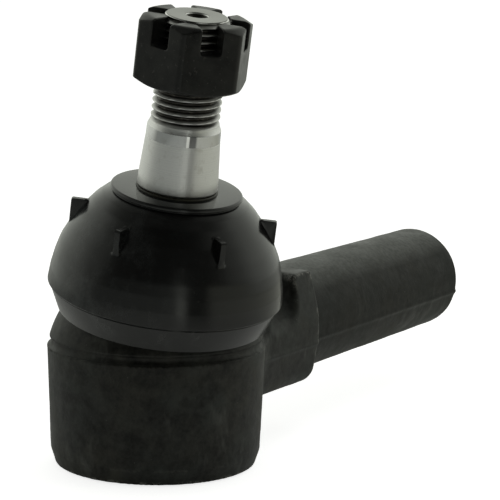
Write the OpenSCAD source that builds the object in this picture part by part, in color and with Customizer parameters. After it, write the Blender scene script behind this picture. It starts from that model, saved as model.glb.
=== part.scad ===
// Tie rod end: a forged housing with a sprung ball joint, a dust boot and a slotted nut.
// The origin is the centre of the ball. +X runs out along the shank, +Z up the housing.

/* [Ball stud] */
// Radius of the ball
ball_r = 13.25; // [12.75:0.25:13.25]
// Height of the stud's end above the ball centre
stud_len = 74.7; // [73:0.1:78]
// Outer radius of the thread, as a plain cylinder
thread_r = 6.95; // [6.5:0.05:6.95]
// Radius of the tapered seat at its large end
seat_large_r = 8.16; // [8:0.01:8.4]
// Radius of the tapered seat at its small end
seat_small_r = 7.57; // [7.5:0.01:7.9]
// Lean of the stud from upright, as it rests
lean = 11; // [0:1:20]
// Compass direction of the lean, from +X towards +Y
lean_dir = -116; // [-180:1:180]

/* [Slotted nut] */
// Width across flats
nut_af = 21; // [19:1:22]
// Full height, with the castellations
nut_h = 13.8; // [12:0.1:15]
// Height of the nut's seat face above the ball centre
nut_seat = 60.6; // [58:0.1:61]
// Width of a slot
slot_w = 4.4; // [3:0.1:5]
// Depth of a slot
slot_d = 5.4; // [4:0.1:7]

/* [Housing] */
// Radius of the barrel at its shoulder
barrel_r = 22.6; // [22:0.1:23]
// Radius of the spherical neck that the boot wipes
neck_r = 23.1; // [23:0.05:23.1]
// Depth of the barrel below the ball centre
base_depth = 20.4; // [20.4:0.1:24]
// Distance from the ball centre to the end of the shank
shank_len = 118.2; // [100:0.1:130]
// Radius of the shank at its end
shank_r = 12.03; // [11.5:0.01:13]
// Height of the shank's axis above the ball centre
shank_z = 1.67; // [0:0.01:3]
// Depth of the threaded hole in the shank
rod_hole_depth = 74; // [50:1:76]
// Minor radius of the M18 x 1.5 thread in the shank
rod_hole_r = 8.19; // [7:0.01:8.5]

/* [Dust boot] */
// Radius of the boot's widest edge
rim_r = 24; // [23.8:0.1:24.4]
// Height of the boot's widest edge
rim_h = 16.9; // [16.5:0.1:17.5]
// Radius of the flat top
disc_r = 13.5; // [12.5:0.1:14]
// Height of the flat top
disc_h = 38.6; // [38:0.1:39]
// Thickness of the boot's wall
boot_wall = 1.6; // [1.2:0.1:2]
// Number of nubs round the dome
nubs = 6; // [3:1:12]

/* [Hidden] */
$fn = 96;
play = 0.05;                        // running clearance of a bearing or a seal
socket_r = ball_r + play;           // inner radius of both bearings
bearing_r = 16.6;                   // outer radius of both bearings
bore_r = bearing_r + play;          // bore of the housing
seat_h = 5.5;                       // where the bore starts to close in on the upper bearing
mouth_r = 12.2;                     // narrowest radius of the housing's mouth
mouth_h = 10.3;                     // and its height
mouth_edge = 40;                    // angle of the mouth's outer edge from upright
cover_r = 17.9;                     // radius of the end cover
cover_top = -16.4;                  // top face of the end cover
cover_t = 2.2;                      // thickness of the end cover
spring_t = 1.2;                     // thickness of the preload spring
lower_bearing_base = -14.2;         // underside of the lower bearing
neck_stud_r = 7.4;                  // radius of the stud in the boot's seal
root_end = 44;                      // end of the wide root of the shank
root_top = 15;                      // top ledge of the root
root_base = -10.4;                  // underside of the root
ledge_r = 36.5;                     // the root is full height beyond this radius
web_top = 11;                       // and falls away from this height within it
web_edge = 2;                       // to this height, 20 to either side
relief_r = 31.4;                    // the boot sweeps inside this radius
relief_z = 3.2;                     // floor of the boot's relief, next to the barrel
neck_foot = 5.1;                    // where the neck springs from the barrel
boot_gap = 0.35;                    // boot's lip to the neck
lip_angle = 62.1;                   // angle of the lip's lower edge from the stud's axis
rim_top_r = 14;                     // where the dome meets the flat top
dome = [[24.3, 17.2], [23.9, 20], [23.3, 23], [22.5, 26], [21, 29], [19.1, 32], [16.7, 35]];

// Point at distance r from the ball centre, at an angle from upright
function polar(r, angle) = [r * sin(angle), r * cos(angle)];

// Places children on the stud's leaning axis
module on_stud() {
    rotate([0, 0, lean_dir]) rotate([0, lean, 0]) rotate([0, 0, -lean_dir]) children();
}

// Outline of one half of the root, looking along the shank
module root_half() {
    corner = 4;
    polygon(concat([[0, root_top], [12, root_top], [14.7, 5], [14.4, -1], [13.4, -6]],
                   [for (a = [0:15:75]) [9.2 + corner * cos(a), root_base + corner - corner * sin(a)]],
                   [[9.2, root_base], [0, root_base]]));
}

// The forging before it is machined
module forging() {
    rotate_extrude()
        polygon([[0, -base_depth], [barrel_r - 1.76, -base_depth], [barrel_r - 0.9, 3 - base_depth],
                 [barrel_r, neck_foot], [0, neck_foot]]);
    intersection() {
        sphere(neck_r);
        translate([0, 0, neck_foot - 1])
            cylinder(h = neck_r * cos(mouth_edge) - neck_foot + 1, r = barrel_r);
    }
    difference() {
        union() {
            difference() {
                translate([14, 0, 0]) rotate([90, 0, 90]) linear_extrude(root_end - 14) {
                    root_half();
                    mirror([1, 0]) root_half();
                }
                intersection() {
                    cylinder(h = 20, r = ledge_r);
                    rotate([90, 0, 90]) linear_extrude(root_end)
                        polygon([[-20, web_edge], [-5, web_top], [5, web_top], [20, web_edge],
                                 [20, 20], [-20, 20]]);
                }
            }
            translate([14, 0, shank_z]) rotate([0, 90, 0])
                rotate_extrude()
                    polygon([[0, 0], [shank_r + 0.5, 0], [shank_r, shank_len - 15],
                             [shank_r - 0.8, shank_len - 14], [0, shank_len - 14]]);
            web_fillets();
        }
        boot_relief();
    }
}

// Hollow in the root that the boot's skirt and dome swing over
module boot_relief() {
    rotate_extrude()
        polygon([[0, relief_z], [23.9, relief_z], [28.4, relief_z + 4.6],
                 [relief_r - 1, relief_z + 6.4], [relief_r, relief_z + 8], [relief_r, 20], [0, 20]]);
}

// Blends between the barrel and the sides of the root
module web_fillets() {
    fillet = 7;
    side = 14;
    cx = sqrt(pow(barrel_r + fillet, 2) - pow(side + fillet, 2));
    for (s = [-1, 1])
        translate([0, 0, root_base + 2]) linear_extrude(relief_z - root_base - 2)
            difference() {
                polygon([[10, s * (side - 2)], [cx, s * (side - 2)], [cx, s * side],
                         [cx * barrel_r / (barrel_r + fillet),
                          s * (side + fillet) * barrel_r / (barrel_r + fillet)]]);
                translate([cx, s * (side + fillet)]) circle(fillet);
            }
}

// Everything cut inside the barrel, from the mouth down to the rolled rim
module ball_chamber() {
    edge = polar(neck_r, mouth_edge);
    rotate_extrude()
        polygon([[0, edge[1] + 1], [edge[0] + 0.26, edge[1] + 1], edge, [mouth_r, mouth_h],
                 [bore_r, seat_h], [bore_r, cover_top], [cover_r + play, cover_top],
                 [cover_r + play, cover_top - cover_t], [15.8, cover_top - cover_t],
                 [17, -base_depth], [17.3, -base_depth - 1], [0, -base_depth - 1]]);
}

// The threaded hole in the shank, with its drilled point and countersink
module rod_hole() {
    translate([shank_len, 0, shank_z]) rotate([0, -90, 0])
        rotate_extrude()
            polygon([[0, -1], [rod_hole_r + 1.8, -1], [rod_hole_r + 0.8, 0], [rod_hole_r, 0.8],
                     [rod_hole_r, rod_hole_depth], [0, rod_hole_depth + 3]]);
}

module housing() {
    color([0.13, 0.13, 0.14])
        difference() {
            forging();
            ball_chamber();
            rod_hole();
        }
}

module upper_bearing() {
    color([0.85, 0.83, 0.75])
        difference() {
            rotate_extrude()
                polygon([[9, -1], [bearing_r, -1], [bearing_r, seat_h - 0.05],
                         [mouth_r + 0.1, mouth_h - 0.2], [11.4, mouth_h - 0.2], [10.2, 8.5], [9, 8.5]]);
            sphere(socket_r);
        }
}

module lower_bearing() {
    color([0.85, 0.83, 0.75])
        difference() {
            translate([0, 0, lower_bearing_base])
                cylinder(h = -1.3 - lower_bearing_base, r = bearing_r);
            sphere(socket_r);
            translate([0, 0, lower_bearing_base - 1]) cylinder(h = 8, r = 6);
        }
}

module preload_spring() {
    inner_top = lower_bearing_base - 0.05;
    outer_base = cover_top + 0.02;
    color([0.35, 0.36, 0.4])
        rotate_extrude()
            polygon([[7, inner_top], [15.5, outer_base + spring_t], [15.5, outer_base],
                     [7, inner_top - spring_t]]);
}

module end_cover() {
    dish_r = 9;
    color([0.3, 0.3, 0.32])
        rotate_extrude()
            polygon([[0, cover_top - 0.9], [dish_r, cover_top - 0.9], [dish_r + 2, cover_top],
                     [cover_r, cover_top], [cover_r, cover_top - cover_t],
                     [dish_r + 1.4, cover_top - cover_t], [dish_r - 0.6, cover_top - cover_t - 0.9],
                     [0, cover_top - cover_t - 0.9]]);
}

module ball_stud() {
    color([0.7, 0.7, 0.7])
        on_stud() {
            sphere(ball_r);
            difference() {
                rotate_extrude()
                    polygon([[0, 0], [6.2, 0], [6.2, 18], [neck_stud_r, 26], [neck_stud_r, 39.1],
                             [7.9, 39.4], [8.15, 40], [seat_large_r, 41.3], [seat_small_r, 49.4],
                             [7.5, 51.7], [thread_r, 52.9], [thread_r, stud_len - 0.8],
                             [thread_r - 0.8, stud_len], [0, stud_len]]);
                translate([0, 0, stud_len - 2.4]) cylinder(h = 2.41, r1 = 1, r2 = 2.4);
                translate([0, 0, stud_len - 4.5]) cylinder(h = 3, r = 1);
            }
        }
}

// Solid of the boot inside an outline pulled in by t
module boot_solid(t) {
    lip = polar(neck_r + boot_gap, lip_angle);
    land = polar(neck_r + boot_gap, lip_angle - 3.5);
    outer = concat([[0, 0], [lip[0] + 0.93, lip[1] + 0.5], [rim_r, rim_h]], dome,
                   [[rim_top_r - 0.6, 36.6], [disc_r - 0.2, 37.4], [disc_r, 37.9],
                    [disc_r - 0.2, disc_h], [0, disc_h]]);
    inner = concat([[0, 0], [lip[0], lip[1]], [land[0], land[1]], [rim_r - t, rim_h - 0.4]],
                   [for (p = dome) p - [t, 0.5]], [[11.9, disc_h - 2.3], [0, disc_h - 2.3]]);
    rotate_extrude() polygon(t == 0 ? outer : inner);
}

module dust_boot() {
    nub_face = 21.05;
    nub_top = 34.1;
    nub_w = 1.5;
    color([0.05, 0.05, 0.055])
        on_stud()
            difference() {
                union() {
                    boot_solid(0);
                    for (k = [0:nubs - 1])
                        rotate([0, 0, 61 + k * 360 / nubs])
                            translate([nub_face - 5, -nub_w / 2, nub_top - 5.4])
                                cube([5, nub_w, 5.4]);
                }
                boot_solid(boot_wall);
                sphere(neck_r + boot_gap);
                cylinder(h = disc_h + 1, r = 8.4);
            }
}

module boot_insert() {
    color([0.6, 0.6, 0.6])
        on_stud()
            translate([0, 0, disc_h - 3.2]) difference() {
                cylinder(h = 0.9, r = 11.8);
                translate([0, 0, -1]) cylinder(h = 3, r = 8.6);
            }
}

module stud_seal() {
    color([0.2, 0.2, 0.15])
        on_stud()
            rotate_extrude()
                polygon([[neck_stud_r + play, disc_h - 2.6], [8.4, disc_h - 2.6], [8.4, disc_h + 0.2],
                         [8.1, disc_h + 0.35], [neck_stud_r + 0.3, disc_h + 0.35],
                         [neck_stud_r + play, disc_h + 0.1]]);
}

module slotted_nut() {
    chamfer_r = nut_af / cos(30) / 2;
    color([0.12, 0.12, 0.13])
        on_stud()
            translate([0, 0, nut_seat]) difference() {
                intersection() {
                    rotate([0, 0, 201]) cylinder(h = nut_h, r = chamfer_r, $fn = 6);
                    rotate_extrude()
                        polygon([[0, 0], [nut_af / 2 - 0.4, 0], [chamfer_r + 0.2, 1.1],
                                 [chamfer_r + 0.2, nut_h - 1.4], [nut_af / 2 - 0.9, nut_h], [0, nut_h]]);
                }
                translate([0, 0, -1]) cylinder(h = nut_h + 2, r = thread_r + 0.08);
                for (k = [0:2])
                    rotate([0, 0, 51 + k * 60])
                        translate([-nut_af, -slot_w / 2, nut_h - slot_d])
                            cube([nut_af * 2, slot_w, slot_d + 1]);
            }
}

housing();
upper_bearing();
lower_bearing();
preload_spring();
end_cover();
ball_stud();
dust_boot();
boot_insert();
stud_seal();
slotted_nut();
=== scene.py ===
"""Looks of the tie rod end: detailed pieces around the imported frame. Sizes are in millimetres."""
import math

import bpy
import numpy as np
from mathutils import Matrix, Vector, noise as waves


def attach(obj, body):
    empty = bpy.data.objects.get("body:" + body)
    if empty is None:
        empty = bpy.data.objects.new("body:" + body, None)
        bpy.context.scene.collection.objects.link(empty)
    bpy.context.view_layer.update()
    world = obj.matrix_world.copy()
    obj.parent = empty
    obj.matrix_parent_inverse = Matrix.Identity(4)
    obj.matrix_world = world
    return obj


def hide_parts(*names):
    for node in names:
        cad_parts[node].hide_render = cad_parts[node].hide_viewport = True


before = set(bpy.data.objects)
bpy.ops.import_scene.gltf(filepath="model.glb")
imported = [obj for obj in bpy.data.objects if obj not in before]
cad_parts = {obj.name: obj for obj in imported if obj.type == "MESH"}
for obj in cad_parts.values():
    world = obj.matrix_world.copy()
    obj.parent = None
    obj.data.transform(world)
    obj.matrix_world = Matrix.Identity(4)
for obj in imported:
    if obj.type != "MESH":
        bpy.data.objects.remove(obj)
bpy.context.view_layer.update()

MM = 0.001
BASE_Z = -20.4          # underside of the rolled rim
ROOT_END = 44           # where the wide root steps down to the shank
SHANK_END = 118.2
SHANK_Z = 1.67          # height of the shank's axis
ROD_MAJOR_R = 9.0       # of the M18 thread in the shank
ROD_MINOR_R = 8.19
LEAN = math.radians(11)                 # of the stud at rest
LEAN_DIRECTION = math.radians(-116)     # from +X towards +Y
PITCH = 1.5             # of both threads
STUD_R = 7.0            # of the M14 thread on the stud
STUD_END = 74.7
THREAD_START = 52.9     # height where the stud's thread runs out
STUD_NECK_TOP = 39.0    # where the taper's shoulder starts
BAND_LOW, BAND_HIGH = 49.45, 51.8       # polished band above the taper
NUT_SEAT = 60.6
NUT_TOP = 74.4
SLOT_FLOOR = 69.05      # height of the bottom of the nut's slots
FLAT = 10.5             # half the nut's width across flats
FIRST_FLAT = 51         # compass degrees of one flat of the nut
DISC_TOP = 38.6         # height of the boot's flat top
FIRST_NUB = 61          # compass degrees of one nub of the boot

turn = Matrix.Rotation(LEAN_DIRECTION, 3, "Z")
STUD = turn @ Matrix.Rotation(LEAN, 3, "Y") @ turn.inverted()   # stud's frame to the row frame
AXIS = STUD @ Vector((0, 0, 1))


# ---------------------------------------------------------------- meshes

def add_piece(name, points, faces, body, material, stands_for, leaning=False):
    """A closed smooth mesh from points in mm. leaning: the points are in the stud's own frame."""
    points = np.asarray(points, float)
    if leaning:
        points = points @ np.array(STUD).T
    mesh = bpy.data.meshes.new(name)
    mesh.from_pydata((points * MM).tolist(), [], faces)
    mesh.validate()
    mesh.shade_smooth()
    piece = bpy.data.objects.new(name, mesh)
    bpy.context.scene.collection.objects.link(piece)
    mesh.materials.append(material)
    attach(piece, body)
    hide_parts(*stands_for)
    return piece


def soften(piece, degrees=40):
    """Keeps the edges sharper than this angle crisp."""
    piece.data.set_sharp_from_angle(angle=math.radians(degrees))


def rounded(corners, steps=5):
    """Outline through corners (r, h) or (r, h, fillet radius), as an array of (r, h)."""
    corners = [tuple(c) + (0,) * (3 - len(c)) for c in corners]
    outline = []
    for i, (r, h, radius) in enumerate(corners):
        here = np.array((r, h))
        if radius == 0 or i in (0, len(corners) - 1):
            outline.append(here)
            continue
        before = np.array(corners[i - 1][:2]) - here
        after = np.array(corners[i + 1][:2]) - here
        before_length, after_length = np.linalg.norm(before), np.linalg.norm(after)
        before, after = before / before_length, after / after_length
        half = math.acos(np.clip(before @ after, -1, 1)) / 2
        run = min(radius / math.tan(half), before_length * 0.49, after_length * 0.49)
        start, end = here + before * run, here + after * run
        middle = here + (before + after) / np.linalg.norm(before + after) * run / math.cos(half)
        sweep = run * math.tan(half)
        for t in np.linspace(0, 1, steps + 1):
            point = start * (1 - t) + end * t - middle
            outline.append(middle + point / np.linalg.norm(point) * sweep)
    return np.array(outline)


def spaced(outline, gap):
    """The same outline with no two points further apart than gap."""
    dense = [outline[0]]
    for a, b in zip(outline[:-1], outline[1:]):
        count = max(1, math.ceil(np.linalg.norm(b - a) / gap))
        dense += [a + (b - a) * k / count for k in range(1, count + 1)]
    return np.array(dense)


def lathe(outline, angles=None, shape=None):
    """Points and faces of an outline turned about +Z. It starts and ends on the axis, or is a loop.

    shape(angle, outline) gives the outline at one angle, where it isn't the same all round."""
    if angles is None:
        angles = np.arange(192) * math.tau / 192
    looped = outline[0][0] > 1e-6
    columns = []
    for a in angles:
        here = outline if shape is None else shape(a, outline)
        columns.append(np.stack([here[:, 0] * math.cos(a), here[:, 0] * math.sin(a), here[:, 1]], 1))
    grid = np.array(columns)
    turns, rows = grid.shape[:2]
    index = np.arange(turns * rows).reshape(turns, rows)
    if not looped:
        index[:, 0] = 0
        index[:, -1] = rows - 1
    faces = []
    for i in range(turns):
        j = (i + 1) % turns
        for k in range(rows if looped else rows - 1):
            m = (k + 1) % rows
            corners = [index[i, k], index[j, k], index[j, m], index[i, m]]
            faces.append([int(v) for n, v in enumerate(corners) if v != corners[n - 1]])
    # Every turn has its own copies of the points on the axis, and only the first is used.
    used, packed = np.unique(np.concatenate([np.array(f) for f in faces]), return_inverse=True)
    ends = np.cumsum([0] + [len(f) for f in faces])
    faces = [packed[a:b].tolist() for a, b in zip(ends[:-1], ends[1:])]
    points = grid.reshape(-1, 3)[used]
    return points, outward(points, faces)


def outward(points, faces):
    """The faces turned over if they make the solid inside out."""
    volume = 0
    for f in faces:
        for second, third in zip(f[1:-1], f[2:]):
            volume += np.dot(points[f[0]], np.cross(points[second], points[third]))
    return faces if volume > 0 else [f[::-1] for f in faces]


def thread_depth(angle, height):
    """0 on the crest and 1 in the root of a right-hand metric thread, at an angle and a height."""
    phase = (height / PITCH - angle / math.tau) % 1
    return np.clip((np.abs(phase - 0.5) * 2 - 0.125) / 0.625, 0, 1)


# ---------------------------------------------------------------- solids from distance fields

def round_in(a, b, radius):
    """Intersection of two fields, its outer edge rounded."""
    return np.minimum(np.maximum(a + radius, b + radius), 0) \
        + np.hypot(np.maximum(a + radius, 0), np.maximum(b + radius, 0)) - radius


def join(a, b, radius):
    """Union of two fields, its inner corner filled to a radius."""
    return np.maximum(np.minimum(a - radius, b - radius), 0) \
        - np.hypot(np.maximum(radius - a, 0), np.maximum(radius - b, 0)) + radius


def outline_field(corners, r, h):
    """Signed distance in mm to a closed outline of (r, h) corners, negative inside."""
    nearest = np.full(r.shape, 1e9)
    inside = np.zeros(r.shape, bool)
    for (r0, h0), (r1, h1) in zip(corners, corners[1:] + corners[:1]):
        dr, dh = r1 - r0, h1 - h0
        t = np.clip(((r - r0) * dr + (h - h0) * dh) / (dr * dr + dh * dh), 0, 1)
        nearest = np.minimum(nearest, (r - r0 - t * dr) ** 2 + (h - h0 - t * dh) ** 2)
        if dh != 0:
            inside ^= ((h0 > h) != (h1 > h)) & (r < r0 + (h - h0) * dr / dh)
    return np.sqrt(nearest) * np.where(inside, -1, 1)


def surface(field, low, high, step):
    """Points and quads of the surface where field(x, y, z) is 0, inside a box, by surface nets."""
    axes = [np.arange(a, b + step, step) for a, b in zip(low, high)]
    value = np.concatenate([field(*np.meshgrid(axes[0][i:i + 16], axes[1], axes[2], indexing="ij"))
                            for i in range(0, len(axes[0]), 16)]).astype(np.float32)

    # Cells with corners on both sides of the surface; each gets one point.
    solid = value < 0
    shape = np.array(value.shape) - 1
    full = np.ones(shape, bool)
    empty = np.ones(shape, bool)
    corners = [(i, j, k) for i in (0, 1) for j in (0, 1) for k in (0, 1)]
    for i, j, k in corners:
        part = solid[i:i + shape[0], j:j + shape[1], k:k + shape[2]]
        full &= part
        empty &= ~part
    cells = np.argwhere(~full & ~empty)
    order = np.full(shape, -1)
    order[tuple(cells.T)] = np.arange(len(cells))

    # A cell's point is the mean of the places where its edges cross the surface.
    total = np.zeros((len(cells), 3))
    count = np.zeros(len(cells))
    for a in corners:
        for axis in range(3):
            if a[axis]:
                continue
            b = tuple(v + (n == axis) for n, v in enumerate(a))
            va = value[tuple((cells + a).T)]
            vb = value[tuple((cells + b).T)]
            cut = (va < 0) != (vb < 0)
            where = np.where(cut, va / np.where(cut, va - vb, 1), 0)
            crossing = np.array(a) + where[:, None] * np.eye(3)[axis]
            total[cut] += crossing[cut]
            count += cut
    points = np.array(low) + (cells + total / count[:, None]) * step
    for _ in range(2):
        points -= pull(field, points, step)

    # Each crossed grid edge gives a quad of the four cells round it.
    quads = []
    for axis in range(3):
        others = [n for n in range(3) if n != axis]
        first = solid[tuple(slice(1, -1) if n != axis else slice(None, -1) for n in range(3))]
        second = solid[tuple(slice(1, -1) if n != axis else slice(1, None) for n in range(3))]
        edges = np.argwhere(first != second)
        leaving = first[tuple(edges.T)]
        edges[:, others] += 1
        ring = []
        for u, v in ((1, 1), (0, 1), (0, 0), (1, 0)):
            cell = edges.copy()
            cell[:, others[0]] -= u
            cell[:, others[1]] -= v
            ring.append(order[tuple(cell.T)])
        ring = np.stack(ring, 1)
        flip = leaving == (axis == 1)
        ring[flip] = ring[flip][:, ::-1]
        quads.append(ring)
    return points, np.concatenate(quads).tolist()


def slope(field, points, reach):
    """Gradient of a field at points."""
    parts = []
    for axis in np.eye(3):
        ahead = field(*(points + axis * reach).T)
        behind = field(*(points - axis * reach).T)
        parts.append((ahead - behind) / (2 * reach))
    return np.stack(parts, 1)


def pull(field, points, step):
    """The move that brings points onto a field's surface, never more than half a step."""
    normal = slope(field, points, step * 0.05)
    move = field(*points.T)[:, None] * normal / np.maximum((normal ** 2).sum(1), 0.05)[:, None]
    length = np.linalg.norm(move, axis=1, keepdims=True)
    return move * np.minimum(1, 0.5 * step / np.maximum(length, 1e-9))


def edge_wear(field, points, reach=0.7):
    """How sharply a surface is convex at its points: 0 where flat, 1 on an edge."""
    around = sum(field(*(points + side * axis * reach).T) for axis in np.eye(3) for side in (-1, 1))
    return np.clip((around / 6 - field(*points.T)) / reach * 9 - 0.35, 0, 1)


def roughen(field, points, keep):
    """Moves points along the surface's normal by a forging's unevenness, where keep is 1."""
    normal = slope(field, points, 0.1)
    normal /= np.maximum(np.linalg.norm(normal, axis=1, keepdims=True), 1e-6)
    height = []
    for p in points:
        coarse = waves.fractal(Vector(p) / 7.0, 0.8, 2.1, 3)
        fine = waves.fractal(Vector(p), 0.7, 2.0, 2)
        height.append(0.07 * coarse + 0.02 * fine)
    return points + normal * (np.array(height) * keep)[:, None]


# ---------------------------------------------------------------- materials

def add_node(tree, kind, inputs=None, **settings):
    """A shader node. inputs maps a socket's name or number to a constant or to another socket."""
    made = tree.nodes.new("ShaderNode" + kind)
    for key, value in settings.items():
        setattr(made, key, value)
    for key, value in (inputs or {}).items():
        if isinstance(value, bpy.types.NodeSocket):
            tree.links.new(value, made.inputs[key])
        else:
            made.inputs[key].default_value = value
    return made


def noise(tree, where, scale, detail=3.0, rough=0.5, stretch=None):
    if stretch:
        where = add_node(tree, "Mapping", {"Vector": where, "Scale": stretch}).outputs[0]
    made = add_node(tree, "TexNoise", {"Vector": where, "Scale": scale, "Detail": detail,
                                       "Roughness": rough})
    return made.outputs["Fac"]


def ramp(tree, value, stops, easing="LINEAR"):
    """Colour or grey by value. stops are (position, grey or colour)."""
    made = add_node(tree, "ValToRGB", {"Fac": value})
    made.color_ramp.interpolation = easing
    elements = made.color_ramp.elements
    while len(elements) < len(stops):
        elements.new(0.5)
    for element, (position, tone) in zip(elements, stops):
        element.position = position
        element.color = (tone,) * 3 + (1,) if isinstance(tone, (int, float)) else tuple(tone) + (1,)
    return made.outputs["Color"]


def calc(tree, operation, a, b=0.0, clamp=False):
    return add_node(tree, "Math", {0: a, 1: b}, operation=operation, use_clamp=clamp).outputs[0]


def mix(tree, factor, a, b, blend="MIX"):
    made = add_node(tree, "Mix", data_type="RGBA", blend_type=blend)
    for socket, value in ((made.inputs[0], factor), (made.inputs[6], a), (made.inputs[7], b)):
        if isinstance(value, bpy.types.NodeSocket):
            tree.links.new(value, socket)
        elif socket == made.inputs[0]:
            socket.default_value = value
        else:
            socket.default_value = (value,) * 3 + (1,) if isinstance(value, (int, float)) \
                else tuple(value) + (1,)
    return made.outputs[2]


def bump(tree, height, distance, strength=1.0, normal=None):
    """A bump of that real depth, in mm."""
    inputs = {"Height": height, "Strength": strength, "Distance": distance * MM}
    if normal is not None:
        inputs["Normal"] = normal
    return add_node(tree, "Bump", inputs).outputs[0]


def material(name, build, **constants):
    """A material whose build(tree, where) returns the shader's linked inputs."""
    made = bpy.data.materials.new(name)
    made.use_nodes = True
    tree = made.node_tree
    tree.nodes.clear()
    where = add_node(tree, "TexCoord").outputs["Object"]
    shader = add_node(tree, "BsdfPrincipled", {**constants, **build(tree, where)})
    add_node(tree, "OutputMaterial", {"Surface": shader.outputs[0]})
    return made


def along_stud(tree, where):
    """Height along the stud and distance from its axis, in mm, as two sockets."""
    height = add_node(tree, "VectorMath", {0: where, 1: AXIS}, operation="DOT_PRODUCT").outputs["Value"]
    on_axis = add_node(tree, "VectorMath", {0: AXIS, "Scale": height}, operation="SCALE").outputs[0]
    apart = add_node(tree, "VectorMath", {0: where, 1: on_axis}, operation="DISTANCE").outputs["Value"]
    return calc(tree, "MULTIPLY", height, 1000), calc(tree, "MULTIPLY", apart, 1000)


def forged_paint(tree, where):
    """Thin black paint on a forging: mottled, chipped on the edges, with painted shade on the shank and
    dust with a painted sheen on upward faces, most on top of the shank.
    """
    patches = noise(tree, where, 170, 6, 0.66)
    tints = noise(tree, where, 60, 3, 0.5)
    blotches = mix(tree, 0.65, noise(tree, where, 420, 5, 0.7), patches)
    grain = noise(tree, where, 1100, 4, 0.6)
    light_tone = ramp(tree, tints, [(0.42, (0.052, 0.050, 0.037)), (0.58, (0.042, 0.051, 0.045))])
    tone = mix(tree, ramp(tree, blotches, [(0.4, 0.0), (0.64, 0.5)]), (0.006, 0.006, 0.005), light_tone)
    tone = mix(tree, ramp(tree, grain, [(0.45, 0.0), (0.75, 0.3)]), tone, (0.04, 0.04, 0.035))
    rubbed = ramp(tree, noise(tree, where, 130, 4, 0.7, stretch=(1, 1, 0.4)), [(0.58, 0.0), (0.72, 0.7)])
    tone = mix(tree, rubbed, tone, (0.075, 0.077, 0.07))

    # The shank is blacker and duller than the rest, except on its underside. The blackening is painted
    # shade graded by which way the surface faces: full on top, a little less on the sides, none
    # underneath.
    facing = add_node(tree, "NewGeometry").outputs["Normal"]
    upward = add_node(tree, "SeparateXYZ", {0: facing}).outputs["Z"]
    along = add_node(tree, "SeparateXYZ", {0: where}).outputs["X"]
    shank = calc(tree, "GREATER_THAN", along, (ROOT_END + 0.2) * MM)
    shank = calc(tree, "MULTIPLY", shank, calc(tree, "ADD", upward, 0.85, True))
    tone = mix(tree, calc(tree, "MULTIPLY", shank, 0.45), tone, (0.005, 0.005, 0.004))
    # Upward faces are lighter: dust, and a painted sheen on the top of the shank, where it is strongest.
    dust_and_sheen = calc(tree, "MULTIPLY", ramp(tree, upward, [(0.6, 0.0), (0.95, 0.95)]),
                 ramp(tree, grain, [(0.3, 0.5), (0.7, 1.0)]))
    dust_and_sheen = calc(tree, "MULTIPLY", dust_and_sheen, mix(tree, shank, 0.2, 1.0))
    tone = mix(tree, dust_and_sheen, tone, (0.17, 0.178, 0.166))

    wear = add_node(tree, "Attribute", attribute_name="wear").outputs["Fac"]
    chipped = calc(tree, "MULTIPLY", wear, ramp(tree, noise(tree, where, 420, 5, 0.75),
                                                [(0.5, 0.0), (0.58, 0.9)]))
    tone = mix(tree, chipped, tone, (0.2, 0.195, 0.175))
    specks = ramp(tree, noise(tree, where, 1300, 2, 0.5), [(0.745, 0.0), (0.78, 0.6)])
    tone = mix(tree, specks, tone, (0.13, 0.125, 0.115))
    normal = bump(tree, noise(tree, where, 240, 5, 0.6), 0.1)
    normal = bump(tree, noise(tree, where, 1300, 4, 0.6), 0.025, normal=normal)
    shine = ramp(tree, blotches, [(0.38, 0.2), (0.5, 0.3), (0.62, 0.42)])
    return {"Base Color": tone, "Normal": normal,
            "Roughness": ramp(tree, patches, [(0.36, 0.4), (0.66, 0.64)]),
            "Specular IOR Level": calc(tree, "MULTIPLY", shine, mix(tree, shank, 1.0, 0.55))}


def moulded_rubber(tree, where):
    """Glossy black rubber: dust, scuffs, and a greyer patch where it has been handled."""
    dust = ramp(tree, noise(tree, where, 2600, 2, 0.5), [(0.70, 0.0), (0.74, 0.5)])
    cloud = ramp(tree, noise(tree, where, 75, 4, 0.6), [(0.42, 0.0), (0.68, 1.0)])
    tone = mix(tree, calc(tree, "MULTIPLY", dust, cloud), (0.006, 0.006, 0.006), (0.09, 0.09, 0.085))
    scuffs = ramp(tree, noise(tree, where, 420, 3, 0.65, stretch=(1, 1, 0.16)), [(0.63, 0.0), (0.7, 0.3)])
    tone = mix(tree, calc(tree, "MULTIPLY", scuffs, cloud), tone, (0.05, 0.05, 0.05))
    side = add_node(tree, "VectorMath", {0: where, 1: (-12, 25, 0)}, operation="DOT_PRODUCT")
    handled = calc(tree, "MULTIPLY", calc(tree, "ADD", side.outputs["Value"], 0.35, True),
                   ramp(tree, noise(tree, where, 150, 8, 0.75), [(0.46, 0.0), (0.66, 1.0)]))
    tone = mix(tree, handled, tone, (0.052, 0.056, 0.056))
    rough = ramp(tree, noise(tree, where, 140, 4, 0.6), [(0.3, 0.15), (0.7, 0.25)])
    height, _ = along_stud(tree, where)
    flat_top = calc(tree, "GREATER_THAN", height, DISC_TOP - 0.3)
    rough = mix(tree, flat_top, rough, 0.12)
    return {"Base Color": tone, "Roughness": rough,
            "Normal": bump(tree, noise(tree, where, 900, 3, 0.5), 0.006)}


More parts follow.
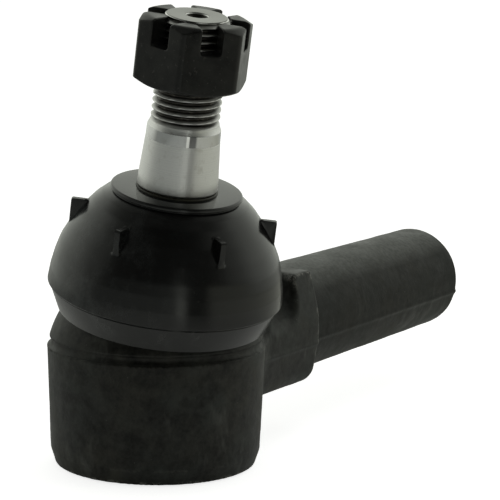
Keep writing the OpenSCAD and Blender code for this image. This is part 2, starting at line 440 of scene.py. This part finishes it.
def ground_steel(tree, where):
    """Ground taper, polished band, turned end and a thread that is darker in its roots."""
    height, apart = along_stud(tree, where)
    rings = add_node(tree, "TexNoise", {"W": height, "Scale": 9.0, "Detail": 4.0, "Roughness": 0.7},
                     noise_dimensions="1D").outputs["Fac"]
    polished = calc(tree, "MULTIPLY", calc(tree, "GREATER_THAN", height, BAND_LOW),
                    calc(tree, "LESS_THAN", height, BAND_HIGH))
    cut_end = calc(tree, "GREATER_THAN", height, STUD_END - 0.1)
    # The thread is darker in its roots, within 6.2 mm of the axis, fading out by 7.1 mm.
    dark_thread_roots = ramp(tree, calc(tree, "MULTIPLY", apart, 0.1), [(0.62, 1.0), (0.71, 0.0)])
    dark_thread_roots = calc(tree, "MULTIPLY", dark_thread_roots, calc(tree, "GREATER_THAN", height, THREAD_START))
    dark_thread_roots = calc(tree, "MULTIPLY", dark_thread_roots, calc(tree, "LESS_THAN", height, STUD_END - 0.3))
    tone = ramp(tree, rings, [(0.3, (0.7, 0.7, 0.7)), (0.7, (0.88, 0.875, 0.855))])
    tone = mix(tree, polished, tone, (0.66, 0.66, 0.66))
    tone = mix(tree, cut_end, tone, (0.26, 0.26, 0.25))
    tone = mix(tree, dark_thread_roots, tone, (0.045, 0.042, 0.038))
    stains = ramp(tree, noise(tree, where, 500, 4, 0.6), [(0.55, 0.0), (0.75, 0.35)])
    tone = mix(tree, stains, tone, (0.36, 0.33, 0.29))
    rough = mix(tree, polished, ramp(tree, rings, [(0.3, 0.28), (0.7, 0.4)]), 0.05)
    normal = bump(tree, calc(tree, "MULTIPLY", rings, calc(tree, "SUBTRACT", 1.0, polished)), 0.018)
    return {"Base Color": tone, "Roughness": rough, "Normal": normal}


def black_oxide(tree, where):
    patches = noise(tree, where, 260, 4, 0.6)
    tone = ramp(tree, patches, [(0.3, (0.008, 0.008, 0.008)), (0.7, (0.024, 0.024, 0.022))])
    worn = ramp(tree, noise(tree, where, 1400, 3, 0.6), [(0.62, 0.0), (0.72, 0.5)])
    tone = mix(tree, worn, tone, (0.09, 0.085, 0.08))
    return {"Base Color": tone, "Roughness": ramp(tree, patches, [(0.3, 0.26), (0.7, 0.42)]),
            "Normal": bump(tree, noise(tree, where, 1100, 4, 0.6), 0.02)}


def plain_steel(tree, where):
    patches = noise(tree, where, 300, 4, 0.6)
    tone = ramp(tree, patches, [(0.3, (0.28, 0.28, 0.29)), (0.7, (0.42, 0.41, 0.40))])
    return {"Base Color": tone, "Roughness": ramp(tree, patches, [(0.3, 0.3), (0.7, 0.45)]),
            "Normal": bump(tree, noise(tree, where, 1500, 3, 0.6), 0.01)}


def olive_rubber(tree, where):
    tone = ramp(tree, noise(tree, where, 600, 4, 0.6), [(0.3, (0.022, 0.022, 0.014)),
                                                       (0.7, (0.045, 0.043, 0.027))])
    return {"Base Color": tone, "Normal": bump(tree, noise(tree, where, 1500, 3, 0.6), 0.01)}


def pale_plastic(tree, where):
    tone = ramp(tree, noise(tree, where, 200, 3, 0.5), [(0.3, (0.62, 0.59, 0.5)),
                                                       (0.7, (0.7, 0.67, 0.58))])
    return {"Base Color": tone, "Normal": bump(tree, noise(tree, where, 1500, 3, 0.6), 0.008)}


forging = material("forging", forged_paint)
rubber = material("boot_rubber", moulded_rubber)
rubber_lip = material("seal_rubber", olive_rubber, Roughness=0.45)
steel = material("stud_steel", ground_steel, Metallic=1.0)
oxide = material("nut_steel", black_oxide, Metallic=0.4)
thread_steel = material("thread_steel", plain_steel, Metallic=1.0)
plastic = material("bearing_plastic", pale_plastic, Roughness=0.4)


# ---------------------------------------------------------------- housing

NECK_FOOT = 5.1         # where the spherical neck springs from the barrel
NECK_TOP = 17.7

# Outlines as (radius, height): the hollow of the barrel, the boot's room in the root, the barrel.
CHAMBER = [(-1, 18.7), (15.69, 18.7), (14.85, NECK_TOP), (12.2, 10.3), (16.65, 5.5),
           (16.65, -16.4), (17.95, -16.4), (17.95, -18.6), (15.8, -18.6), (17.0, BASE_Z),
           (17.6, BASE_Z - 1), (-1, BASE_Z - 1)]
RELIEF = [(-1, 3.2), (23.9, 3.2), (28.4, 7.8), (30.4, 9.6), (31.4, 11.2), (31.4, 24), (-1, 24)]
BARREL = [(-1, BASE_Z), (20.3, BASE_Z), (20.8, -20.1), (21.72, -17.3), (21.75, -16.9),
          (22.6, NECK_FOOT), (-1, NECK_FOOT)]


def root_field(x, y, z):
    """The wide root between the barrel and the shank."""
    side = np.abs(y)
    upper = (side - 14.75) * 0.965 + (z - 5) * 0.262
    lower = (side - 14.45) * 0.985 - (z + 1) * 0.17
    section = round_in(upper, lower, 2.0)
    section = round_in(section, z - 15, 0.5)
    section = round_in(section, -10.4 - z, 4.0)
    block = round_in(round_in(section, x - ROOT_END, 1.3), 8 - x, 0.5)
    hollow = round_in(np.hypot(x, y) - 37.2, (14 - 0.6 * side - z) / 1.17, 4.0)
    return round_in(block, -hollow, 1.5)


def housing_field(x, y, z):
    """The forging, hollowed out for the ball and bored for the rod's thread."""
    r = np.hypot(x, y)
    barrel = outline_field(BARREL, r, z) - 0.05
    neck = round_in(np.sqrt(r * r + z * z) - 23.05, np.maximum(z - NECK_TOP, 4 - z), 0.2)
    shank_r = 12.5 - 0.47 * np.clip((x - 14) / 100, 0, 1)
    shank = np.hypot(y, z - SHANK_Z) - shank_r
    shank = round_in(round_in(shank, x - SHANK_END, 0.9), 8 - x, 0.5)
    root = join(root_field(x, y, z), shank, 1.3)
    parting_line = np.exp(-((z + 0.9) / 0.55) ** 2) * (np.abs(y) > 8)
    root = round_in(root - 0.3 * parting_line, -outline_field(RELIEF, r, z), 1.1)
    body = join(barrel, root, 3.5)
    groove = np.hypot(r - 22.75, z - 5.4) - 1.0
    body = round_in(np.minimum(body, neck), -groove, 0.1)
    body = round_in(body, -outline_field(CHAMBER, r, z), 0.25)
    hole = round_in(np.hypot(y, z - SHANK_Z) - ROD_MAJOR_R - 0.3, SHANK_END - 77.2 - x, 0.5)
    return round_in(body, -hole, 0.3)


def housing():
    points, quads = surface(housing_field, (-24.5, -24.5, -22), (120.5, 24.5, 19.5), 0.45)
    x, y, z = points.T
    forged = np.clip((np.linalg.norm(points, axis=1) - 23.3) * 3, 0, 1) * (z > BASE_Z + 0.3)
    forged *= np.hypot(y, z - SHANK_Z) > 9.8
    worn = edge_wear(housing_field, points) * (np.abs(z - 3) > 6)
    step_worn = np.exp(-((x - ROOT_END + 0.6) / 0.8) ** 2) * 0.6
    worn = np.clip(worn + step_worn, 0, 1) * forged
    shading = slope(housing_field, points, 0.2)
    points = roughen(housing_field, points, forged)
    body = add_piece("forged_housing", points, quads, "housing", forging, ["housing"])
    body.data.normals_split_custom_set_from_vertices(shading.tolist())
    body.data.attributes.new("wear", "FLOAT", "POINT").data.foreach_set("value", worn)


housing()


def rod_thread():
    """Female thread in the shank, right-hand, with its countersunk mouth."""
    depth = 74
    bore = np.stack([np.full(640, ROD_MINOR_R), np.linspace(depth, 0.3, 640)], 1)
    outline = np.concatenate([[[9.5, 0.5], [9.5, depth + 0.5]], bore, [[9.4, 0.3]]])

    def cut(angle, here):
        made = here.copy()
        wall = slice(2, 2 + len(bore))
        height = here[wall, 1]
        ridge = (ROD_MAJOR_R - ROD_MINOR_R) * (1 - thread_depth(-angle, height))
        made[wall, 0] = np.maximum(ROD_MAJOR_R - ridge, ROD_MAJOR_R + 0.6 - height)
        return made

    points, faces = lathe(outline, np.arange(144) * math.tau / 144, cut)
    inward = np.stack([SHANK_END - points[:, 2], points[:, 0], SHANK_Z + points[:, 1]], 1)
    soften(add_piece("rod_thread", inward, outward(inward, faces), "housing",
                     thread_steel, ["housing"]))


rod_thread()


def end_cover():
    """Pressed disc under the preload spring."""
    outline = rounded([(0, -17.3), (8.6, -17.3, 1.2), (10.9, -16.42, 1.2), (17.8, -16.42, 0.3),
                       (17.8, -18.58, 0.3), (10.4, -18.58, 1.4), (8.2, -19.5, 1.4), (0, -19.5)])
    points, faces = lathe(outline, np.arange(144) * math.tau / 144)
    soften(add_piece("pressed_cover", points, faces, "housing", oxide, ["end_cover"]))


end_cover()


# ---------------------------------------------------------------- stud, nut, boot

def ball_stud():
    """Ball, neck, taper, polished band and right-hand thread, in one turned piece."""
    ball_r = 13.25
    ball = [(ball_r * math.cos(a), ball_r * math.sin(a)) for a in np.radians(np.linspace(-90, 60, 40))]
    ball[0] = (0, -ball_r)
    lower = rounded([ball[-1], (6.2, 13.2, 2.0), (6.2, 18, 4), (7.4, 26, 4),
                     (7.4, STUD_NECK_TOP, 0.1), (8.26, STUD_NECK_TOP + 0.12, 0.35),
                     (8.16, 41.3, 3), (7.57, 49.4, 1), (7.5, 51.7, 0.12),
                     (STUD_R, THREAD_START - 0.1)])
    thread = np.stack([np.full(215, STUD_R), np.linspace(THREAD_START, STUD_END, 215)], 1)
    end = rounded([(6.05, STUD_END), (2.4, STUD_END, 0.1), (1.0, STUD_END - 2.4),
                   (1.0, STUD_END - 4.5), (0, STUD_END - 5)])
    outline = np.concatenate([ball[:-1], lower, thread, end])
    start = len(ball) - 1 + len(lower)

    def cut(angle, here):
        made = here.copy()
        wall = slice(start, start + len(thread))
        height = here[wall, 1]
        deep = 0.92 * thread_depth(angle, height) * np.clip((height - THREAD_START) / 0.7, 0, 1)
        chamfer = 6.1 + (STUD_END - height) * 0.9
        made[wall, 0] = np.minimum(STUD_R - deep, chamfer)
        return made

    points, faces = lathe(outline, np.arange(180) * math.tau / 180, cut)
    soften(add_piece("threaded_ball_stud", points, faces, "stud", steel, ["ball_stud"],
                     leaning=True), 50)


ball_stud()


def nut_field(x, y, z):
    """Hexagon chamfered at both ends, with three slots across it and a threaded bore."""
    r = np.hypot(x, y)
    directions = [math.radians(FIRST_FLAT + 60 * k) for k in range(3)]
    body = None
    for a in directions:
        flats = np.abs(x * math.cos(a) + y * math.sin(a)) - FLAT
        body = flats if body is None else round_in(body, flats, 0.6)
    top = (r - 10.0) * 0.5 + (z - NUT_TOP) * 0.866
    foot = (r - 10.0) * 0.5 - (z - NUT_SEAT) * 0.866
    body = round_in(round_in(body, top, 0.15), foot, 0.15)
    body = round_in(round_in(body, z - NUT_TOP, 0.25), NUT_SEAT - z, 0.25)
    for a in directions:
        across = np.abs(y * math.cos(a) - x * math.sin(a)) - 2.2
        body = round_in(body, -round_in(across, SLOT_FLOOR - z, 0.8), 0.22)
    thread = STUD_R + 0.1 - 0.81 * thread_depth(np.arctan2(y, x), z)
    sunk = STUD_R + 0.3 - (z - NUT_SEAT)
    return round_in(body, (np.maximum(thread, sunk) - r) * 0.75, 0.05)


def castle_nut():
    points, quads = surface(nut_field, (-12.9, -12.9, 59.9), (12.9, 12.9, 75.1), 0.2)
    add_piece("castle_nut", points, quads, "nut", oxide, ["slotted_nut"], leaning=True)


castle_nut()


def boot():
    """Hollow dome with a skirt and six nubs. A nub is where the outline bulges out to a corner."""
    nub_face, nub_top, nub_half = 21.05, 34.1, 0.7
    lip = rounded([(20.75, 11.1), (21.6, 11.45, 0.25), (23.72, 16.5, 0.1), (23.6, 16.8, 0.05),
                   (24.25, 17.0, 0.2), (23.95, 20, 3)])
    dome_corners = [(23.95, 20), (23.35, 23, 9), (22.5, 26, 9), (21.0, 29, 8), (19.1, 32, 8),
                    (16.7, 35, 6), (14.9, 36.6)]
    dome = spaced(rounded(dome_corners), 0.3)
    disc = rounded([(14.9, 36.6), (13.0, 37.45, 0.3), (13.1, 37.7, 0.1), (13.52, 37.75, 0.2),
                    (13.5, DISC_TOP, 0.45), (8.4, DISC_TOP), (8.4, 36.3), (11.9, 36.3, 0.5),
                    (15.1, 34.5, 5), (17.5, 31.5, 8), (19.4, 28.5, 8), (20.9, 25.5, 8),
                    (21.75, 22.5, 9), (22.5, 17.5, 0.6), (20.35, 13.0, 0.8), (20.75, 11.1)])
    outline = np.concatenate([lip[:-1], dome, disc[1:-1]])

    # The dome's points from low to high move to the same number of points round the nub's corner.
    start = len(lip) - 1
    low = start + int(np.argmax(dome[:, 0] < nub_face))
    high = start + int(np.argmax(dome[:, 1] > nub_top))
    walk = rounded([(nub_face, dome[low - start][1]), (nub_face, nub_top, 0.3),
                    (dome[high - start][0], nub_top)], 8)
    length = np.concatenate([[0], np.cumsum(np.linalg.norm(np.diff(walk, axis=0), axis=1))])
    even = np.linspace(0, length[-1], high - low + 1)
    nub = np.stack([np.interp(even, length, walk[:, n]) for n in (0, 1)], 1)

    # Angles of the turned outline, close together at the sides of each nub.
    half = nub_half / nub_face
    blend = 0.18 / nub_face
    angles, weights = [], []
    for k in range(6):
        centre = math.radians(FIRST_NUB + 60 * k)
        steps = [(-half - blend / 2, 0), (-half - blend / 6, 0.2), (-half + blend / 6, 0.8),
                 (-half + blend / 2, 1), (0, 1), (half - blend / 2, 1), (half - blend / 6, 0.8),
                 (half + blend / 6, 0.2), (half + blend / 2, 0)]
        angles += [centre + a for a, _ in steps]
        weights += [w for _, w in steps]
        gap = math.radians(60) - 2 * (half + blend / 2)
        angles += [centre + half + blend / 2 + gap * i / 36 for i in range(1, 36)]
        weights += [0] * 35
    weight = dict(zip(angles, weights))

    def raise_nub(angle, here):
        made = here.copy()
        w = weight[angle]
        made[low:high + 1] = here[low:high + 1] * (1 - w) + nub * w
        return made

    points, faces = lathe(outline, angles, raise_nub)
    soften(add_piece("domed_boot", points, faces, "boot", rubber, ["dust_boot"],
                     leaning=True), 55)


boot()


def stud_seal():
    """Lip ring in the boot's flat top, round the stud's neck."""
    outline = rounded([(7.46, 36.0), (8.38, 36.0), (8.38, 38.85, 0.2), (8.0, 38.95, 0.15),
                       (7.5, 38.7, 0.1), (7.46, 38.3)])
    points, faces = lathe(outline)
    soften(add_piece("lip_seal", points, faces, "boot", rubber_lip, ["stud_seal"],
                     leaning=True))


stud_seal()


# ---------------------------------------------------------------- carried-over CAD nodes

for node, finish in (("upper_bearing", plastic), ("lower_bearing", plastic),
                     ("preload_spring", thread_steel), ("boot_insert", thread_steel)):
    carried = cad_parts[node]
    carried.data.materials.clear()
    carried.data.materials.append(finish)


# ---------------------------------------------------------------- floor, light and camera

CAMERA_SIDE = (-0.86, -0.51, 0)
TO_CAMERA = math.atan2(CAMERA_SIDE[1], CAMERA_SIDE[0])
CAST = (1.0, 1.04, 0.94)          # tint of the studio's light
STUDIO_STRENGTH = 0.88


def compass(tree, toward):
    """0 to 1 round the compass, 0.5 towards the camera."""
    turned = add_node(tree, "Mapping", {"Vector": toward, "Rotation": (0, 0, -TO_CAMERA)}).outputs[0]
    return add_node(tree, "TexGradient", {"Vector": turned}, gradient_type="RADIAL").outputs["Fac"]


def studio_cards(tree, toward):
    """Light by compass direction: a cool side, a warm side, and a bright card beside a dark gap."""
    dark, card, cool, warm = (0.03,) * 3, (0.9,) * 3, (0.24, 0.245, 0.25), (0.4, 0.395, 0.365)
    return ramp(tree, compass(tree, toward), [(0.2, cool), (0.532, cool), (0.538, card), (0.556, card),
                                              (0.562, dark), (0.61, dark), (0.63, warm), (0.8, warm)])


def upright_strip(tree, toward):
    """A narrow upright light in the card's direction."""
    return ramp(tree, compass(tree, toward), [(0.53, 0.0), (0.54, 0.6), (0.552, 0.6), (0.562, 0.0)])


def surround(tree, toward):
    """Light by how far a direction is from the camera's side: bright behind the object."""
    facing = add_node(tree, "VectorMath", {0: toward, 1: CAMERA_SIDE}, operation="DOT_PRODUCT")
    facing = calc(tree, "ADD", calc(tree, "MULTIPLY", facing.outputs["Value"], 0.5), 0.5)
    return ramp(tree, facing, [(0.0, 1.0), (0.35, 0.85), (0.6, 0.4), (0.8, 0.07), (1.0, 0.05)], "EASE")


def floor():
    """A pale floor, bright enough to run into the white behind it, that throws less light back."""
    size = 4.0
    height = BASE_Z * MM - 0.0002
    mesh = bpy.data.meshes.new("floor")
    mesh.from_pydata([(-size, -size, height), (size, -size, height), (size, size, height),
                      (-size, size, height)], [], [(0, 1, 2, 3)])
    plane = bpy.data.objects.new("floor", mesh)
    bpy.context.scene.collection.objects.link(plane)

    def pale(tree, where):
        tone = ramp(tree, noise(tree, where, 3, 2, 0.5), [(0.3, 0.88), (0.7, 0.92)])
        apart = add_node(tree, "VectorMath", {0: where}, operation="LENGTH").outputs["Value"]
        seen = add_node(tree, "LightPath").outputs["Is Camera Ray"]
        beyond = ramp(tree, apart, [(0.06, 0.0), (0.25, 1.0)])

        # What the object gets back from the floor: less from further off, and little from the gap.
        near = ramp(tree, calc(tree, "MULTIPLY", apart, 2.5), [(0.12, 1.0), (0.3, 0.55), (0.8, 0.0)],
                    "EASE")
        gap = ramp(tree, compass(tree, where), [(0.556, 1.0), (0.562, 0.1), (0.61, 0.1), (0.625, 1.0)])
        near = mix(tree, beyond, near, mix(tree, 1.0, near, gap, "MULTIPLY"))

        # The far floor mirrors the studio, so that no horizon shows in the object's reflections.
        heading = add_node(tree, "VectorMath", {0: where}, operation="NORMALIZE").outputs[0]
        far = ramp(tree, apart, [(0.12, 0.0), (0.3, 0.35), (1.0, 0.8)])
        far = mix(tree, 1.0, surround(tree, heading), far, "MULTIPLY")
        glow = mix(tree, 1.0, studio_cards(tree, where), far, "LIGHTEN")
        glow = mix(tree, beyond, (0.09, 0.09, 0.09), glow)
        glow = mix(tree, 1.0, glow, CAST, "MULTIPLY")
        glow = mix(tree, seen, glow, (0.91, 0.91, 0.91))
        return {"Base Color": mix(tree, seen, near, tone), "Emission Color": glow,
                "Emission Strength": STUDIO_STRENGTH}

    mesh.materials.append(material("pale_floor", pale, Roughness=0.9))


floor()


def light(name, place, target, size, power, tint=(1, 1, 1)):
    """A rectangular soft light. place and target are in metres, size is (width, height)."""
    lamp = bpy.data.lights.new(name, "AREA")
    lamp.shape = "RECTANGLE"
    lamp.size, lamp.size_y = size
    lamp.energy = power
    lamp.color = tint
    holder = bpy.data.objects.new(name, lamp)
    holder.location = place
    holder.rotation_euler = (Vector(target) - Vector(place)).to_track_quat("-Z", "Y").to_euler()
    holder.visible_glossy = False
    bpy.context.scene.collection.objects.link(holder)


light("overhead", (0.1, -0.1, 0.9), (0.02, 0, 0), (0.6, 0.6), 1.3)
light("right_box", (0.35, -0.75, 0.35), (0, 0, 0.03), (0.25, 0.5), 0.2, (1, 0.98, 0.93))


def studio_world():
    """Bright low all round, dark overhead and on the camera's side; plain white behind the object."""
    world = bpy.data.worlds.new("studio")
    bpy.context.scene.world = world
    world.use_nodes = True
    tree = world.node_tree
    tree.nodes.clear()
    toward = add_node(tree, "TexCoord").outputs["Generated"]
    up = add_node(tree, "SeparateXYZ", {0: toward}).outputs["Z"]
    height = ramp(tree, up, [(0.0, 0.8), (0.3, 1.0), (0.6, 0.9), (0.82, 0.3), (1.0, 0.12)], "EASE")
    tone = mix(tree, 1.0, surround(tree, toward), height, "MULTIPLY")
    low = ramp(tree, up, [(0.0, 1.0), (0.15, 0.4), (0.35, 0.0)], "EASE")
    low = mix(tree, 1.0, studio_cards(tree, toward), low, "MULTIPLY")
    tone = mix(tree, 1.0, tone, low, "LIGHTEN")
    strip = ramp(tree, up, [(0.0, 1.0), (0.55, 0.0)])
    strip = mix(tree, 1.0, upright_strip(tree, toward), strip, "MULTIPLY")
    tone = mix(tree, 1.0, tone, strip, "LIGHTEN")
    tone = mix(tree, 1.0, tone, CAST, "MULTIPLY")
    lit = add_node(tree, "Background", {"Color": tone, "Strength": STUDIO_STRENGTH})
    seen = add_node(tree, "Background", {"Color": (1, 1, 1, 1), "Strength": 1.05})
    ray = add_node(tree, "LightPath").outputs["Is Camera Ray"]
    both = add_node(tree, "MixShader", {0: ray, 1: lit.outputs[0], 2: seen.outputs[0]})
    add_node(tree, "OutputWorld", {"Surface": both.outputs[0]})


studio_world()


def camera():
    """A long lens, low down and close in front of the barrel."""
    data = bpy.data.cameras.new("camera")
    data.sensor_width = 36
    data.lens = 169.2
    data.shift_x, data.shift_y = 0.0006, -0.0041
    holder = bpy.data.objects.new("camera", data)
    forward = Vector((0.84892, 0.50273, -0.16308)).normalized()
    up = Vector((0.13156, 0.09785, 0.98647))
    right = forward.cross(up).normalized()
    up = right.cross(forward)
    axes = Matrix((right, up, -forward)).transposed().to_4x4()
    holder.matrix_world = Matrix.Translation(Vector((-401.6, -259.9, 103.86)) * MM) @ axes
    bpy.context.scene.collection.objects.link(holder)
    bpy.context.scene.camera = holder


camera()
bpy.context.scene.view_settings.view_transform = "Standard"
